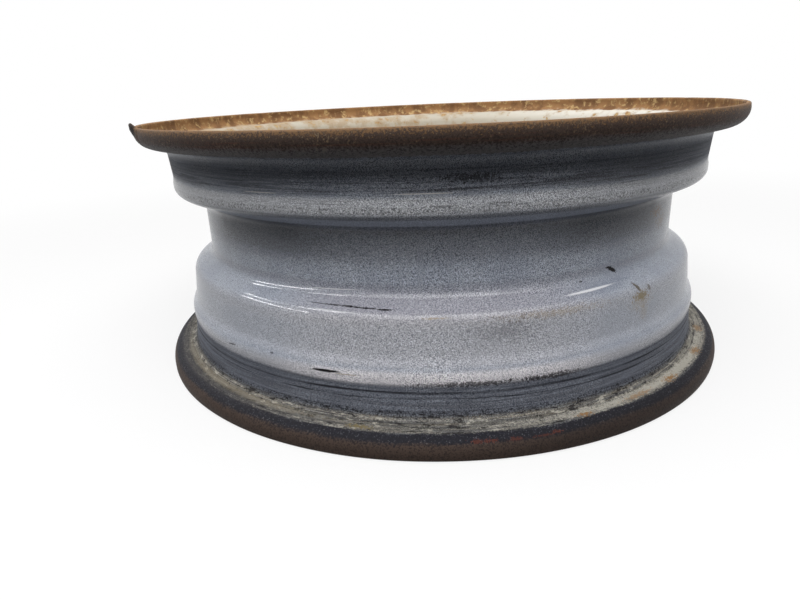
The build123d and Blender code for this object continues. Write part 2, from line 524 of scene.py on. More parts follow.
@dataclass
class RolledRim:
    """The rim's shell: one rolled and butt-welded sheet with its valve hole.

    Each wave of the lips has a count round the wheel, a share and a phase. A dent's width is in
    degrees. The valve wall is the place on the Contour map that the hole's wall is painted by.
    """

    section: RimSection = RimSection()
    nub: Nub = Nub()
    step: float = 6.0 * MM
    turn_step: float = radians(10.0)
    turns: int = 340
    nub_turns: int = 30
    nub_gap: float = 0.3
    valve_hole: float = 11.3 * MM
    valve_angle: float = radians(90.0)
    valve_sides: int = 48
    valve_cut_sheets: float = 6.0
    valve_wall: tuple[float, float] = (65.0 * MM, 0.5)
    lip_reach: float = 9.0 * MM
    wave: float = 0.35 * MM
    waves: tuple[tuple[int, float, float], ...] = ((3, 0.5, 0.8), (7, 0.3, 2.1), (17, 0.2, 0.0))
    inboard_wave: float = 0.6
    dents: int = 26
    dent_widths: tuple[float, float] = (0.5, 1.6)
    dent_depths: tuple[float, float] = (0.2 * MM, 0.7 * MM)
    dent_seed: int = 15
    seam_height: float = 0.25 * MM
    seam_half_angle: float = 1.3

    def angles(self) -> np.ndarray:
        """Angles from the front in degrees, closer together at the nub."""
        even = np.linspace(-180, 180, self.turns, endpoint=False)
        near = self.nub.angle + 2 * self.nub.half_angle * np.linspace(-1, 1, self.nub_turns)
        even = even[(even < near[0] - self.nub_gap) | (even > near[-1] + self.nub_gap)]
        return np.sort(np.r_[even, near])

    def raised(self, angle: np.ndarray, values: np.ndarray) -> np.ndarray:
        """How far each place of the sheet stands out of the rolled form.

        The lips carry long waves and small dents, each dent a bell curve, the nub is a
        taller bell with a flat top, and a low ridge marks the butt weld at the back.

        Args:
            angle: Angles from the front in degrees, one row per angle.
            values: The map values of the loop, one per column.

        Returns:
            Heights in metres, one row per angle and one column per loop point.
        """
        run = values[:, 0]
        total = run.max()
        turn = np.radians(angle)[:, None]
        street = bell(run / self.lip_reach)[None]
        inboard = bell((total - run) / self.lip_reach)[None]
        waves = sum(share * np.sin(count * turn + phase) for count, share, phase in self.waves)
        height = self.wave * (waves * street + self.inboard_wave * (waves[::-1] - 1) * inboard)
        random = np.random.default_rng(self.dent_seed)
        places = random.uniform(-180, 180, self.dents)
        widths = random.uniform(*self.dent_widths, self.dents)
        depths = random.uniform(*self.dent_depths, self.dents)
        away = (angle[:, None] - places[None] + 180) % 360 - 180
        height = height - (depths * bell(away / widths)).sum(1)[:, None] * street
        height = height + self.nub.height * self.nub.share(angle, values)
        back = (np.abs(angle)[:, None] - 180) / self.seam_half_angle
        return height + self.seam_height * bell(back)

    def shell(self) -> Object:
        """Turn the section about the axle: x = r sin a and y = -r cos a, a from the front."""
        points, outward, values = self.section.loop(self.step, self.turn_step)
        angle = self.angles()
        height = self.raised(angle, values)
        radius = points[None, :, 0] + height * outward[None, :, 0]
        rise = self.nub.rise * self.nub.share(angle, values)
        z = np.maximum(points[None, :, 1] + height * outward[None, :, 1] + rise, 0.0)
        turn = np.radians(angle)[:, None]
        grid = np.stack([radius * np.sin(turn), -radius * np.cos(turn), z], axis=-1)
        faces = grid_faces(len(angle), len(points), closed=True)
        spread = np.tile(values, (len(angle), 1))
        return mesh_object("rim_shell", grid.reshape(-1, 3), faces, spread)

    def pierce(self, shell: Object) -> None:
        """Cut the valve hole square to the slope of the well's street side wall."""
        section = self.section
        lean = section.street_wall_lean
        bend = tan((pi / 2 - lean) / 2)
        top = section.shoulder_z - section.shoulder_bend * bend * sin(lean)
        low = section.well_top_z + section.well_bend * bend * sin(lean)
        z = (top + low) / 2
        radius = section.well_radius + (z - section.well_top_z) / tan(lean)
        way = Vector((cos(self.valve_angle), sin(self.valve_angle), 0.0))
        axis = sin(lean) * way - cos(lean) * Vector((0, 0, 1))
        bpy.ops.mesh.primitive_cylinder_add(
            vertices=self.valve_sides,
            radius=self.valve_hole / 2,
            depth=self.valve_cut_sheets * section.sheet,
        )
        cutter = bpy.context.object
        cutter.rotation_mode = "QUATERNION"
        cutter.rotation_quaternion = Vector((0, 0, 1)).rotation_difference(axis)
        cutter.location = radius * way + Vector((0, 0, z))
        for layer in cutter.data.uv_layers:
            layer.name = CONTOUR_MAP
            layer.data.foreach_set("uv", np.tile(self.valve_wall, len(cutter.data.loops)))
        hole = shell.modifiers.new("valve hole", "BOOLEAN")
        hole.operation = "DIFFERENCE"
        hole.solver = "EXACT"
        hole.object = cutter
        bpy.context.view_layer.objects.active = shell
        bpy.ops.object.modifier_apply(modifier=hole.name)
        bpy.data.objects.remove(cutter)

    def build(self, paint: Material) -> Object:
        """Make the shell, pierce it, paint it and put it in the frame in place of its CAD node."""
        shell = self.shell()
        self.pierce(shell)
        install(shell, "rim", Slot.RIM, paint)
        return shell


@dataclass
class DiscWelds:
    """The eight runs of arc weld between the disc's skirt and the well."""

    count: int = 8
    arc: float = 28.0
    first_angle: float = 22.5
    leg: float = 4.5 * MM
    throat: float = 3.4 * MM
    crown: float = 0.9 * MM
    ripple: float = 0.22 * MM
    ripple_length: float = 2.4 * MM
    swell: float = 0.06
    swell_length: float = 9.0 * MM
    upright: tuple[float, float] = (0.66, 0.33)
    end_size: float = 0.01
    first_seed: int = 40
    clearance: float = 0.05 * MM
    rows: int = 150
    columns: int = 18

    def bead(self, number: int, radius: float, top: float) -> tuple[np.ndarray, np.ndarray]:
        """One run: a rounded fillet section carried round the axle.

        The section at angle p is an ellipse quarter between the well and the skirt's edge,
        pushed out by the crown. Its size swells and shrinks along the run as the ripples do,
        and falls to nothing as a circle does at the two ends.

        Args:
            number: The run's number, from 0.
            radius: Radius of the well's inner face less the clearance.
            top: Height of the skirt's edge.

        Returns:
            Vertices and quads of the closed bead.
        """
        along = np.linspace(-1, 1, self.rows)
        middle = self.first_angle + number * 360 / self.count
        angle = np.radians(middle + along * self.arc / 2)
        run = np.radians(self.arc) * radius * along / 2
        end = np.clip((1 - np.abs(along)) * np.radians(self.arc) * radius / 2 / self.leg, 0, 1)
        random = np.random.default_rng(self.first_seed + number)
        phase = random.uniform(0, 2 * pi)
        size = np.sqrt(np.maximum(1 - (1 - end) ** 2, self.end_size**2))
        size = size * (1 + self.swell * np.sin(run / self.swell_length + phase))
        waves = 1 + self.ripple / self.throat * np.abs(np.sin(pi * run / self.ripple_length + phase))
        turn = np.linspace(0, pi / 2, self.columns - len(self.upright))[::-1]
        bulge = 1 + self.crown / self.throat * np.sin(2 * turn)
        across = np.r_[self.throat * np.sin(turn) * bulge, 0.0 * np.array(self.upright)]
        down = np.r_[self.leg * np.cos(turn) * bulge, self.leg * np.array(self.upright)]
        scale = (size * waves)[:, None]
        r = radius - scale * across[None]
        z = top - scale * down[None]
        points = np.stack([r * np.cos(angle)[:, None], r * np.sin(angle)[:, None], z], axis=-1)
        return points.reshape(-1, 3), grid_faces(self.rows, self.columns, closed=False)

    def build(self, steel: Material, section: RimSection) -> list[Object]:
        """Make the runs where the CAD has them and put them in the frame in place of its nodes."""
        radius = section.well_radius - section.sheet - self.clearance
        made = []
        for number in range(self.count):
            node = f"disc_weld_{number + 1}"
            points, faces = self.bead(number, radius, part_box(node)[1].z)
            bead = mesh_object(f"weld_bead_{number + 1}", points, faces)
            install(bead, node, Slot.WELD, steel)
            made.append(bead)
        return made


# Finishes


@dataclass(frozen=True)
class Mark:
    """One stain, chip, scratch or painted highlight on the tyre side: an ellipse with a ragged, soft
    edge.

    Angles are in degrees from the front and runs in millimetres of contour from the street lip.
    """

    name: str
    angle: float
    run: float
    half_angle: float
    half_run: float
    colour: Colour
    strength: float = 1.0
    ragged: float = 0.5
    slant: float = 0.0
    soft: float = 0.4


# A mark's outline lies at this share of its size, and a ragged one strays from it by the other
MARK_EDGE = 0.95
MARK_WOBBLE = 2.6

BLACK = (0.012, 0.011, 0.012)
SOOT = (0.045, 0.042, 0.045)
OCHRE = (0.20, 0.155, 0.065)
OCHRE_DARK = (0.075, 0.055, 0.027)
MUSTARD = (0.30, 0.21, 0.08)
CLAY = (0.50, 0.475, 0.41)
TAN_CLAY = (0.33, 0.285, 0.205)
GOLD_RUST = (0.27, 0.145, 0.055)
RUBBED = (0.80, 0.77, 0.73)
# Colour of the painted highlights that stand in for glints of the lamps
PAINTED_GLINT = (0.95, 0.95, 0.97)
RED_RUST = (0.105, 0.033, 0.022)
BROWN_RUST = (0.13, 0.07, 0.04)

MARKS = (
    Mark("brown film, left seat", -70.0, 36.0, 9.0, 9.0, BROWN_RUST, 0.4, 0.1, soft=1.2),
    Mark("film, right seat", 33.0, 40.5, 15.0, 6.5, SOOT, 0.4, 0.1, soft=1.2),
    Mark("soot, left flange", -56.0, 188.0, 32.0, 4.2, SOOT, 0.75, 0.9, soft=1.0),
    Mark("oil, lower lip", 36.0, 200.0, 24.0, 8.0, BLACK, 0.5, 0.3, soft=1.2),
    Mark("tan clay, left flange", -46.0, 184.0, 24.0, 2.2, TAN_CLAY, 0.4, 0.9, soft=1.0),
    Mark("dry clay, right flange", 44.0, 186.0, 28.0, 2.8, CLAY, 0.75, 0.9, soft=1.0),
    Mark("deep chip", 35.6, 107.9, 1.25, 1.35, BLACK, slant=1.9),
    Mark("chip's tail", 34.6, 106.2, 0.6, 0.7, BLACK, 1.0, 0.35),
    Mark("dot by the chip", 27.4, 110.6, 0.4, 0.6, BLACK, 0.8, 0.3),
    Mark("ochre stain, left horn", 38.3, 123.0, 0.55, 2.4, OCHRE_DARK, 0.9, 0.7, slant=2.2),
    Mark("ochre stain, right horn", 41.5, 125.6, 0.5, 2.0, OCHRE_DARK, 0.7, 0.8),
    Mark("ochre stain, body", 38.9, 128.6, 1.9, 2.6, OCHRE, 0.85, 1.1),
    Mark("ochre stain, wash", 38.8, 132.0, 2.3, 4.2, MUSTARD, 0.35, 1.2, soft=0.9),
    Mark("ochre stain, foot", 39.6, 138.5, 1.0, 4.0, MUSTARD, 0.25, 1.2, soft=0.9),
    Mark("mustard specks", 19.5, 126.5, 6.5, 1.6, MUSTARD, 0.35, 2.4),
    Mark("dark specks", 11.2, 133.0, 4.6, 4.6, SOOT, 0.4, 2.0),
    Mark("broken scratch, start", -21.0, 118.0, 1.6, 0.35, BLACK, 0.7),
    Mark("broken scratch, left", -18.1, 118.0, 1.5, 0.52, BLACK, 1.0, 1.3),
    Mark("broken scratch, middle", -15.0, 118.3, 1.6, 0.62, BLACK, 1.0, 1.3, slant=0.2),
    Mark("broken scratch, right", -11.8, 118.8, 1.7, 0.58, BLACK, 1.0, 1.3, slant=0.2),
    Mark("broken scratch, end", -8.6, 119.4, 1.4, 0.60, BLACK, 1.0, 0.7),
    Mark("black rub", -18.8, 155.6, 2.7, 0.85, BLACK, 1.0, 0.45, slant=-0.1),
    Mark("black rub's tail", -14.9, 156.4, 2.2, 0.35, MUSTARD, 0.6, 0.6),
    Mark("curved scratch", -40.8, 154.6, 1.2, 0.5, BLACK, 0.85, 0.35, slant=-0.5),
    Mark("dot left of the rub", -29.8, 151.5, 0.4, 0.6, BLACK, 0.7, 0.4),
    Mark("mustard spot", -0.3, 124.3, 2.0, 0.6, MUSTARD, 0.55, 0.8),
    Mark("rubbed line, upper seat", -1.5, 43.2, 4.6, 0.28, RUBBED, 0.85, 0.25),
    Mark("rubbed line, left", -28.2, 43.3, 3.4, 0.25, RUBBED, 0.7, 0.25),
    Mark("specks, upper seat", 5.0, 36.6, 3.6, 1.6, BLACK, 0.8, 1.7),
    Mark("specks under them", 3.4, 41.4, 3.6, 0.6, BLACK, 0.6, 1.6),
    Mark("specks, worn edge", 1.2, 49.4, 1.9, 0.5, BLACK, 0.6, 1.4),
    Mark("specks right of them", 9.6, 48.9, 1.9, 0.5, BLACK, 0.6, 1.4),
    Mark("brown specks, well", 51.5, 82.0, 2.2, 2.4, BROWN_RUST, 1.0, 1.9),
    Mark("brown specks under them", 54.5, 89.0, 2.0, 3.4, BROWN_RUST, 0.7, 2.0),
    Mark("red speck, first", 5.4, 195.3, 0.75, 0.9, RED_RUST, 0.77, 1.8),
    Mark("red speck, second", 7.4, 195.2, 0.75, 0.9, RED_RUST, 0.81, 1.8),
    Mark("red speck, third", 10.9, 195.6, 0.8, 0.9, RED_RUST, 0.59, 1.9),
    Mark("red speck, fourth", 17.3, 195.1, 0.8, 0.8, RED_RUST, 0.72, 1.9),
    Mark("red speck, fifth", 15.2, 195.8, 1.6, 0.5, RED_RUST, 0.5, 1.6),
    Mark("flange spot, first", 23.2, 188.4, 1.1, 1.2, GOLD_RUST, 0.95, 1.7),
    Mark("flange spot, second", 34.5, 187.2, 2.6, 1.5, GOLD_RUST, 0.7, 1.6),
    Mark("flange spot, third", 44.0, 187.4, 1.5, 1.8, GOLD_RUST, 0.95, 1.8),
    Mark("flange spot, fourth", 58.0, 186.8, 1.5, 2.2, GOLD_RUST, 0.9, 1.8),
    Mark("flange spot, fifth", 70.0, 185.5, 1.5, 2.4, GOLD_RUST, 0.7, 1.6),
    Mark("flange spot, left", -12.4, 187.4, 1.7, 1.4, OCHRE, 0.8, 1.5),
    Mark("flange spot, front", -9.0, 181.6, 1.5, 1.0, BLACK, 0.6, 1.6),
    Mark("black specks, foot", -2.5, 185.2, 3.0, 1.2, BLACK, 0.7, 1.7),
    Mark("soot under the crest", 6.0, 160.6, 7.5, 1.2, BLACK, 0.8, 1.8),
    Mark("soot under the crest, right", 18.0, 160.8, 5.5, 1.4, SOOT, 0.9, 1.8),
    # Painted highlights: bright lines where glints of the lamps fall on the bends and the shoulder
    Mark("gloss line, right", 28.3, 117.1, 5.4, 0.85, PAINTED_GLINT, 0.95, 0.12, slant=-0.6, soft=0.7),
    Mark("gloss line, left", -19.4, 108.2, 5.6, 0.30, PAINTED_GLINT, 0.55, 0.2, slant=-0.5, soft=0.8),
    Mark("gloss line under it", -17.6, 122.0, 4.0, 0.35, PAINTED_GLINT, 0.5, 0.2, slant=0.4, soft=0.8),
    Mark("shoulder line, left", -50.5, 71.8, 8.5, 0.7, PAINTED_GLINT, 0.6, 0.15, slant=-4.0, soft=0.8),
    Mark("shoulder line, right", 39.6, 58.6, 3.0, 0.8, PAINTED_GLINT, 0.5, 0.15, slant=-2.4, soft=0.8),
    Mark("torn edge", -59.5, 1.0, 2.2, 6.5, BLACK, 0.9, 0.2),
)


@dataclass(frozen=True)
class Ring:
    """A band of dirt, wear, painted shade or painted light round the tyre side, between two runs of the
    contour in millimetres.
    """

    name: str
    start: float
    end: float
    soft: float
    colour: Colour
    cover: float
    streaks: float = 0.0
    specks: float = 0.0


RINGS = (
    # Painted shade under the street flange's overhang, over real road film and tyre rubber
    Ring("road film, street foot", 25.0, 30.6, 1.6, (0.135, 0.145, 0.17), 0.6, 0.3),
    Ring("rubber, upper seat", 31.0, 36.5, 3.0, (0.075, 0.079, 0.094), 0.78, 0.3),
    Ring("thin rubber below", 35.5, 43.0, 4.0, (0.16, 0.165, 0.19), 0.55, 0.3),
    Ring("scratches, upper seat", 37.0, 43.5, 2.0, (0.03, 0.03, 0.035), 0.45, 1.0),
    Ring("worn seat edge", 45.0, 53.5, 2.5, (0.60, 0.61, 0.64), 0.8),
    Ring("specks on that edge", 49.5, 53.0, 1.0, (0.03, 0.03, 0.03), 0.7, 0.3, 0.9),
    # Painted shade at the shoulder's turn, over some dirt
    Ring("dirt on the shoulder", 54.0, 57.6, 1.0, (0.12, 0.125, 0.14), 0.6, 0.2),
    # Painted reflection: the band below the shoulder is lighter and bluer
    Ring("clean band below", 58.0, 71.0, 4.0, (0.56, 0.61, 0.72), 0.8),
    # Painted shade in the well's upper corner and below it, over some film
    Ring("film, upper well", 71.5, 77.5, 2.0, (0.075, 0.078, 0.09), 0.75, 0.2, 0.3),
    Ring("thin film below", 76.0, 92.0, 10.0, (0.13, 0.135, 0.16), 0.6, 0.0, 0.2),
    # Painted shade along the well's lower turn, over some film
    Ring("film, lower well", 104.0, 108.8, 3.0, (0.20, 0.20, 0.235), 0.35),
    Ring("dust on the ledge", 123.0, 131.0, 6.0, (0.46, 0.44, 0.445), 0.3),
    Ring("ledge washed lighter", 127.0, 150.0, 6.0, (0.47, 0.485, 0.535), 0.5),
    # Painted highlight on the crest, over some wear, where the lamps light it too little
    Ring("rubbed crest", 152.5, 160.2, 4.0, (0.62, 0.62, 0.66), 0.4),
    Ring("crest's lower edge", 155.5, 160.4, 2.5, (0.70, 0.69, 0.72), 0.4),
    Ring("specks under the crest", 159.8, 162.2, 1.0, (0.03, 0.032, 0.035), 0.75, 0.4, 0.9),
    Ring("rubber, inboard seat", 161.0, 178.5, 1.6, (0.078, 0.083, 0.102), 0.84, 0.25),
    Ring("first line in it", 164.7, 165.9, 0.5, (0.010, 0.010, 0.013), 0.9, 0.5),
    Ring("second line in it", 168.4, 169.4, 0.5, (0.014, 0.014, 0.016), 0.8, 1.0),
    Ring("smear between the lines", 170.5, 174.0, 1.5, (0.12, 0.125, 0.145), 0.5, 0.9),
    Ring("grime, inboard foot", 178.0, 192.0, 2.0, (0.11, 0.11, 0.108), 0.88),
    Ring("specks, inboard foot", 175.4, 179.4, 1.0, (0.014, 0.014, 0.016), 0.9, 0.2, 0.9),
    Ring("clay line above", 180.0, 181.6, 0.6, (0.34, 0.33, 0.30), 0.7, 0.5),
    Ring("clay line below", 183.4, 190.6, 1.2, (0.32, 0.31, 0.27), 0.75, 0.7, 0.5),
    Ring("dark line in the clay", 181.9, 183.2, 0.6, (0.020, 0.019, 0.018), 0.85, 0.4),
    Ring("tan tint in the clay", 179.0, 191.0, 2.0, (0.30, 0.245, 0.16), 0.55, 0.9, 0.5),
    Ring("soot over the clay", 180.5, 191.5, 3.0, (0.020, 0.020, 0.022), 0.9, 0.25, 0.85),
)


MM_PER_METRE = 1000.0
UNROLLED_RADIUS = 190.0


@dataclass
class Places:
    """Coordinates that the finishes share, in millimetres and degrees."""

    graph: Graph

    def __post_init__(self) -> None:
        """Read the object's coordinates and work out the radius and the angle from the front."""
        graph = self.graph
        metres = graph.read(graph.node("ShaderNodeTexCoord"), "Object")
        self.at = graph.scaled(metres, MM_PER_METRE)
        self.x, self.y, self.z = graph.split(self.at)
        self.radius = (self.x * self.x + self.y * self.y) ** 0.5
        self.angle = graph.number("ARCTAN2", self.x, self.y * -1.0) * (180 / pi)

    def contour(self) -> tuple[Expr, Expr]:
        """The length run along the section and the share of the sheet's thickness."""
        made = self.graph.node("ShaderNodeUVMap", {"uv_map": CONTOUR_MAP})
        run, share, _ = self.graph.split(self.graph.read(made))
        return run * MM_PER_METRE, share

    def unrolled(self, run: Expr, stretch: float) -> Expr:
        """A seamless vector for patterns that run round the wheel, longer by stretch that way."""
        share = (UNROLLED_RADIUS / stretch) / self.radius
        return self.graph.join(self.x * share, self.y * share, run)

    def noise(self, *numbers: float) -> Expr:
        """Noise at these places, with a scale, a detail and a roughness."""
        return self.graph.noise(self.at, *numbers)


@dataclass(frozen=True)
class RimPaint:
    """Worn blue-grey paint on the tyre side with painted shade and highlights, rusty lips, cream paint on
    the street side.
    """

    paint: Colour = (0.325, 0.355, 0.425)
    pale: Colour = (0.38, 0.41, 0.475)
    lilac: Colour = (0.43, 0.395, 0.42)
    # Paler on the ledge near the front
    dust: Colour = (0.49, 0.485, 0.52)
    # Painted highlight, over some wear, on the crest at the front
    crest: Colour = (0.90, 0.87, 0.91)
    # Painted shade in the well beside the front
    well_side_shade: Colour = (0.040, 0.046, 0.060)
    grain_light: Colour = (1.75, 1.74, 1.70)
    grain_dark: Colour = (0.30, 0.31, 0.35)
    clay: Colour = (0.30, 0.285, 0.245)
    lip: Colour = (0.070, 0.049, 0.040)
    lip_blue: Colour = (0.18, 0.165, 0.162)
    lip_black: Colour = (0.017, 0.017, 0.023)
    lip_red: Colour = (0.095, 0.045, 0.033)
    lip_gold: Colour = (0.27, 0.19, 0.11)
    edge: Colour = (0.30, 0.17, 0.08)
    crumb: Colour = (0.19, 0.19, 0.21)
    rust: Colour = (0.33, 0.18, 0.08)
    rust_dark: Colour = (0.20, 0.105, 0.05)
    rust_gold: Colour = (0.52, 0.36, 0.17)
    cream: Colour = (0.55, 0.505, 0.42)
    cream_right: Colour = (0.74, 0.71, 0.64)
    tan: Colour = (0.42, 0.30, 0.18)
    primer: Colour = (0.22, 0.235, 0.27)

    def inner_side(self, places: Places, run: Expr) -> Expr:
        """Colour of the side that faces the axle.

        Args:
            places: The finish's coordinates.
            run: Length run along the section.

        Returns:
            The colour expression.
        """
        mix = places.graph.mix
        grain = places.noise(0.20, 3.0, 0.6)
        patch = places.noise(0.075, 4.0, 0.6)
        rust = mix(patch.ramp(0.40, 0.6), self.rust_dark, self.rust)
        rust = mix(grain.ramp(0.52, 0.68), rust, self.rust_gold)
        # The cream runs lighter towards +x
        cream = Coat(places.graph, mix(places.x.ramp(20.0, 170.0), self.cream, self.cream_right))
        stained = (patch + places.x.ramp(150.0, -150.0) * 0.12).ramp(0.50, 0.70)
        cream.lay(stained * 0.7, self.tan)
        cream.lay((grain * 0.5 + patch * 0.5).ramp(0.56, 0.62), rust)
        street = mix((run + (patch - 0.5) * 26.0).ramp(13.0, 19.0), rust, cream.colour)
        primer = mix(patch.ramp(0.35, 0.7), self.primer, self.paint)
        hub_side = mix((run + (patch - 0.5) * 20.0).ramp(176.0, 188.0), primer, rust)
        return mix(places.z.ramp(111.0, 109.0), street, hub_side)

    def material(self) -> Material:
        """Build the whole finish."""
        graph = Graph.of_material("rim paint")
        places = Places(graph)
        run, share = places.contour()
        inside = share.ramp(0.25, 0.75)
        outer = TyreSide(graph, self.paint, places, run, self).colour
        colour = graph.mix(inside, outer, self.inner_side(places, run))
        lips = run.ramp(30.0, 22.0) + run.ramp(183.0, 188.0)
        peel = places.noise(0.5, 2.0, 0.5)
        height = peel * 0.25 + places.noise(0.9, 4.0, 0.7) * lips * 1.2
        bump = graph.node("ShaderNodeBump", None, Strength=0.35, Distance=0.0006, Height=height)
        grimy = run.band(28.0, 44.0, 8.0) + run.band(157.0, 188.0, 5.0)
        shade = graph.read(graph.node("ShaderNodeRGBToBW", Color=colour))
        clean = (1 - inside) * graph.number("MAXIMUM", 1 - (lips + grimy), 0.0)
        return graph.finish(
            Base_Color=colour,
            Roughness=0.5 + peel * 0.2,
            Coat_Weight=clean * shade.ramp(0.02, 0.10) * 0.6,
            Coat_Roughness=0.1,
            Normal=graph.read(bump),
            Specular_IOR_Level=0.08,
        )


@dataclass
class TyreSide(Coat):
    """The tyre side, from the street lip down to the inboard lip, coloured layer by layer."""

    places: Places
    run: Expr
    finish: RimPaint

    def __post_init__(self) -> None:
        """Make the noises, even ones and ones drawn out round the wheel, and lay every layer."""
        self.grain = self.places.noise(2.6, 0.0, 0.5)
        self.speckle = self.places.noise(0.9, 2.0, 0.6)
        self.blotch = self.places.noise(0.035, 3.0, 0.55)
        self.streak = self.drawn_out(40.0, 0.9, 0.65)
        self.fine_streak = self.drawn_out(90.0, 2.4, 0.7)
        self.smear = self.drawn_out(3.0, 0.42, 0.7)
        self.off_front = self.places.angle * self.places.angle
        self.near_front = self.off_front.ramp(1100.0, 120.0)
        self.lay_paint()
        self.lay_dirt_and_painted_light()
        self.lay_painted_light()
        self.lay_grain()
        self.lay_clay()
        self.lay_lips()
        self.lay_marks()

    def drawn_out(self, stretch: float, scale: float, rough: float) -> Expr:
        """Noise whose features are longer by stretch round the wheel."""
        return self.graph.noise(self.places.unrolled(self.run, stretch), scale, 3.0, rough)

    def lay_paint(self) -> None:
        """Lay the blotched paint, lilac on the slope and paler on the ledge near the front."""
        self.lay(self.blotch.ramp(0.38, 0.66), self.finish.pale)
        self.lay(self.run.band(108.0, 128.0, 9.0) * self.near_front * 0.45, self.finish.lilac)
        self.lay(self.run.band(126.0, 151.0, 6.0) * self.near_front * 0.8, self.finish.dust)

    def lay_dirt_and_painted_light(self) -> None:
        """Lay the rings of dirt and wear that the tyre and the road left, with painted shade in the
        recesses and painted light on the crest and below the shoulder, and fine scratches.
        """
        for ring in RINGS:
            cover = self.run.band(ring.start, ring.end, ring.soft)
            if ring.streaks:
                cover = cover * (self.streak.ramp(0.42, 0.58) * ring.streaks + (1 - ring.streaks))
            if ring.specks:
                cover = cover * (self.speckle.ramp(0.50, 0.60) * ring.specks + (1 - ring.specks))
            self.lay(cover * ring.cover, ring.colour, ring.name)
        self.lay(self.fine_streak.ramp(0.60, 0.70) * self.run.band(150.0, 190.0, 8.0) * 0.7, BLACK)
        self.lay(self.fine_streak.ramp(0.58, 0.66) * self.run.band(34.0, 50.0, 6.0) * 0.6, SOOT)

    def lay_painted_light(self) -> None:
        """Lay painted shade in the well beside the front, and a painted highlight over some wear on the
        crest at the front.
        """
        # Painted shade: darker in the well's upper part away from the front
        shaded = self.off_front.band(500.0, 2700.0, 800.0)
        shaded = shaded * self.run.ramp(69.5, 73.0) * self.run.ramp(102.0, 74.0)
        self.lay(shaded * 0.85, self.finish.well_side_shade)
        # Painted highlight, over some wear, on the crest at the front
        self.lay(self.run.band(153.5, 160.8, 3.5) * self.near_front * 0.85, self.finish.crest)

    def lay_grain(self) -> None:
        """Let a fine sandy grain show through the thin paint, most of all near the front."""
        coarse = self.blotch.ramp(0.30, 0.60) * 0.5 + self.near_front * 0.5
        coarse = coarse + self.run.band(74.0, 106.0, 10.0) * 0.35
        sandy = Coat(self.graph, self.colour * self.finish.grain_light)
        sandy.lay(self.grain.ramp(0.34, 0.66), self.colour * self.finish.grain_dark)
        self.lay(coarse * 0.65 + 0.30, sandy.colour)

    def lay_clay(self) -> None:
        """Lay dry clay and soot in the inboard flange's foot."""
        run = self.run
        crumbs = self.blotch * 0.5 + self.speckle * 0.5 + self.fine_streak * 0.5
        clay = run.band(181.0, 190.5, 3.0) * crumbs.ramp(0.70, 0.84)
        self.lay(clay * (self.off_front.ramp(100.0, 2500.0) * 0.6 + 0.3), self.finish.clay)
        self.lay(run.band(176.0, 192.0, 5.0) * self.fine_streak.ramp(0.50, 0.40) * 0.85, SOOT)
        self.lay(run.band(176.5, 191.5, 1.5) * self.smear.ramp(0.57, 0.62) * 0.85, BLACK)
        self.lay(run.band(179.5, 190.5, 1.5) * self.smear.ramp(0.43, 0.37) * 0.7, CLAY)

    def lay_lips(self) -> None:
        """Bare both lips, oiled and rusty, with a redder line along the middle of the upper one."""
        run, grain, speckle, blotch = self.run, self.grain, self.speckle, self.blotch
        ragged = run + (blotch - 0.5) * 3.0 + (self.streak - 0.5) * 3.0 + (speckle - 0.5) * 5.0
        lip = Coat(self.graph, self.finish.lip)
        lip.lay(ragged.band(9.0, 26.0, 4.0), self.finish.lip_blue)
        lip.lay(ragged.band(187.0, 196.5, 3.0), self.finish.lip_black)
        lip.lay(ragged.band(5.5, 9.5, 3.0) * self.streak.ramp(0.46, 0.66) * 0.8, self.finish.lip_red)
        lip.lay((speckle + (grain - 0.5) * 0.5).ramp(0.50, 0.38) * 0.6, BLACK)
        flakes = (speckle * 0.7 + blotch * 0.3).ramp(0.57, 0.66) * run.ramp(16.0, 0.0)
        lip.lay(flakes * 0.8, self.finish.lip_gold)
        self.lay(ragged.ramp(26.0, 23.5) + ragged.ramp(189.6, 191.2), lip.colour)
        crumbs = (speckle * 0.6 + grain * 0.4).ramp(0.60, 0.66) * run.band(188.0, 196.0, 3.0)
        self.lay(crumbs * 0.55, self.finish.crumb)
        self.lay((run + (speckle - 0.5) * 14.0).ramp(3.5, 0.0) * 0.65, self.finish.edge)

    def lay_marks(self) -> None:
        """Lay the stains, chips, scratches and painted highlights."""
        wobble = (self.places.noise(0.55, 2.0, 0.6) - 0.5) * 0.7
        wobble = wobble + (self.places.noise(1.5, 1.0, 0.6) - 0.5)
        for mark in MARKS:
            across = (self.places.angle - mark.angle) * (1 / mark.half_angle)
            down = (self.run - mark.run - across * mark.slant) * (1 / mark.half_run)
            far = (across * across + down * down) ** 0.5 + wobble * (MARK_WOBBLE * mark.ragged)
            cover = far.ramp(MARK_EDGE + mark.soft / 2, MARK_EDGE - mark.soft / 2)
            self.lay(cover * mark.strength, mark.colour, mark.name)


@dataclass(frozen=True)
class DiscPaint:
    """Aged cream paint with rust spots on the street side, grey primer on the hub side."""

    cream: Colour = (0.50, 0.47, 0.40)
    rust: Colour = (0.24, 0.105, 0.035)
    rust_gold: Colour = (0.46, 0.27, 0.09)
    primer: Colour = (0.20, 0.215, 0.25)

    def material(self) -> Material:
        """Build the finish from the way that each face looks."""
        graph = Graph.of_material("disc paint")
        places = Places(graph)
        grain = places.noise(0.28, 4.0, 0.65)
        patch = places.noise(0.06, 4.0, 0.6)
        rust = graph.mix(grain.ramp(0.45, 0.65), self.rust, self.rust_gold)
        street = graph.mix((grain * 0.5 + patch * 0.5).ramp(0.57, 0.63), self.cream, rust)
        hub = graph.mix(patch.ramp(0.55, 0.68) * 0.7, self.primer, rust)
        normal = graph.read(graph.node("ShaderNodeNewGeometry"), "Normal")
        colour = graph.mix(graph.split(normal)[2].ramp(0.05, 0.25), hub, street)
        return graph.finish(Base_Color=colour, Roughness=0.45 + grain * 0.2, Specular_IOR_Level=0.3)


